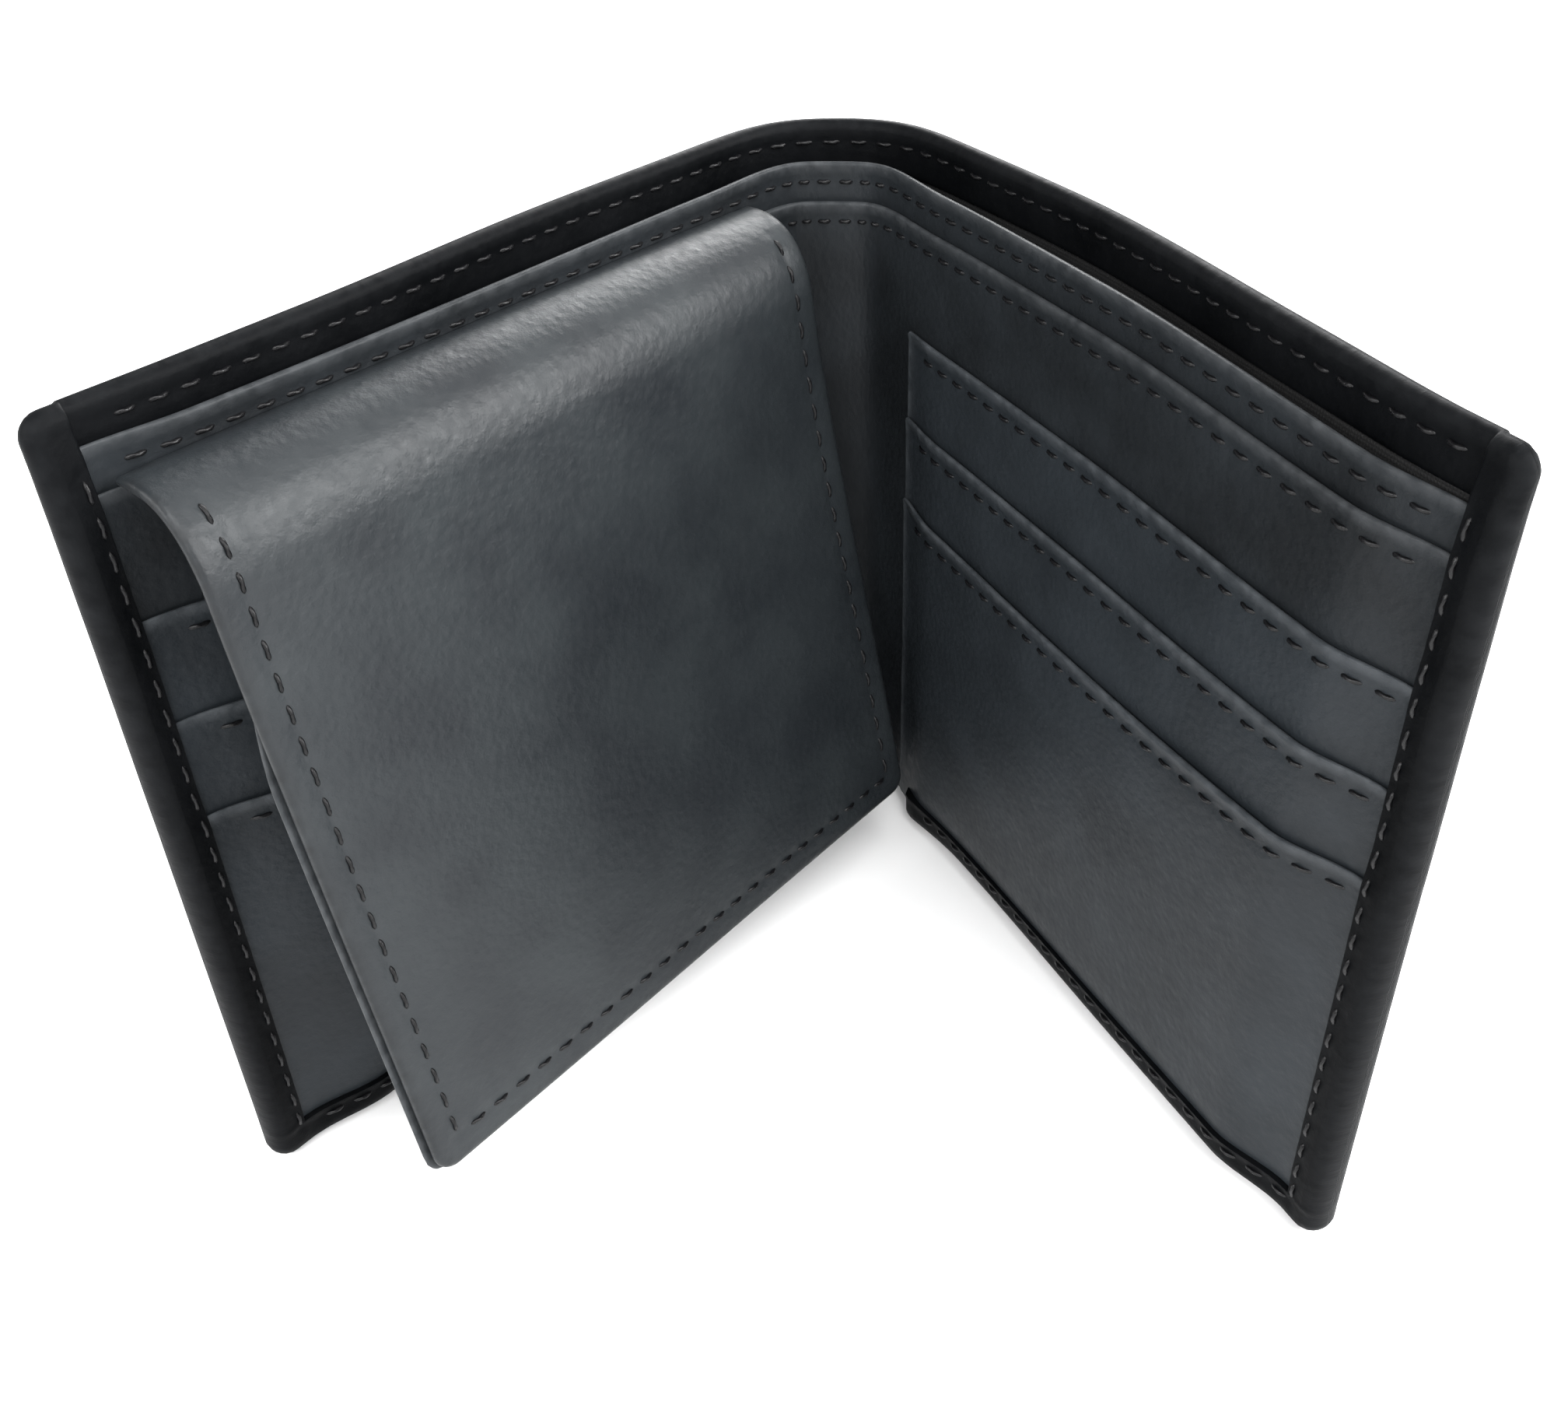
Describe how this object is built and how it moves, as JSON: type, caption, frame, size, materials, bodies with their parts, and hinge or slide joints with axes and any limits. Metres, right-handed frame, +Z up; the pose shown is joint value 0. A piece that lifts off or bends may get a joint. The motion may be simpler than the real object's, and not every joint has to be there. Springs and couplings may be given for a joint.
{
  "type": "wallet",
  "caption": "Leather bill wallet with two card panels on a soft spine and a flip-up wing with a window that hangs in front of the left panel.",
  "frame": {"origin": "centre of the box's base, on the surface that the wallet stands on", "axes": "+Z up, the half-open wallet opens towards -Y, +X towards the free edge of the right panel"},
  "size_m": [0.1244, 0.0992, 0.095],
  "materials": {
    "cover_leather": "smooth black leather with a fine grain, soft sheen",
    "inner_leather": "smooth black leather, soft sheen",
    "pocket_leather": "smooth black leather, satin",
    "wing_leather": "smooth black leather, semi-gloss over the roll",
    "lining": "fine black woven lining",
    "thread": "black bonded thread",
    "board": "dark stiffener board",
    "clear_vinyl": "clear flexible vinyl"
  },
  "bodies": {
    "left_panel": {"cover_left": "cover_leather", "lining_left": "lining", "hem_left": "cover_leather", "divider_left": "inner_leather", "body_left": "inner_leather", "pocket_top_left": "pocket_leather", "pocket_middle_left": "pocket_leather", "pocket_bottom_left": "pocket_leather", "edge_left": "cover_leather", "stitching_left": "thread", "stitching_hem_left": "thread", "wing_anchor": "wing_leather"},
    "spine_left": {"cover_spine_left": "cover_leather", "lining_spine_left": "lining", "hem_spine_left": "cover_leather", "divider_spine_left": "inner_leather", "body_spine_left": "inner_leather"},
    "spine_right": {"cover_spine_right": "cover_leather", "lining_spine_right": "lining", "hem_spine_right": "cover_leather", "divider_spine_right": "inner_leather", "body_spine_right": "inner_leather"},
    "right_panel": {"cover_right": "cover_leather", "lining_right": "lining", "hem_right": "cover_leather", "divider_right": "inner_leather", "body_right": "inner_leather", "pocket_top_right": "pocket_leather", "pocket_middle_right": "pocket_leather", "pocket_bottom_right": "pocket_leather", "edge_right": "cover_leather", "stitching_right": "thread", "stitching_hem_right": "thread"},
    "wing_roll": {"wing_hinge": "wing_leather", "wing_top": "wing_leather"},
    "wing": {"wing_front": "wing_leather", "wing_board": "board", "id_window": "clear_vinyl", "window_frame": "inner_leather", "stitching_wing": "thread"}
  },
  "joints": [
    {"name": "fold_left", "type": "hinge", "parent": "left_panel", "child": "spine_left", "pos_m": [-0.008, 0.04284, 0], "axis": [0, 0, 1], "range_deg": [-32, 24.5]},
    {"name": "fold_middle", "type": "hinge", "parent": "spine_left", "child": "spine_right", "pos_m": [0, 0.04814, 0], "axis": [0, 0, 1], "range_deg": [0, 67]},
    {"name": "fold_right", "type": "hinge", "parent": "spine_right", "child": "right_panel", "pos_m": [0.008, 0.04284, 0], "axis": [0, 0, 1], "range_deg": [-32, 24.5]},
    {"name": "wing_flip", "type": "hinge", "parent": "left_panel", "child": "wing_roll", "pos_m": [-0.00681, 0.03325, 0.086], "axis": [-0.5299, -0.848, 0], "range_deg": [0, 160]},
    {"name": "wing_settle", "type": "hinge", "parent": "wing_roll", "child": "wing", "pos_m": [-0.00502, 0.03213, 0.07725], "axis": [-0.5299, -0.848, 0], "range_deg": [-15.2, 11.64]}
  ],
  "couplings": [
    {"joint": "fold_right", "follows": "fold_left", "ratio": 1},
    {"joint": "wing_settle", "follows": "fold_left", "ratio": 0.475},
    {"joint": "fold_middle", "follows": "wing_flip", "ratio": 0.41875}
  ]
}
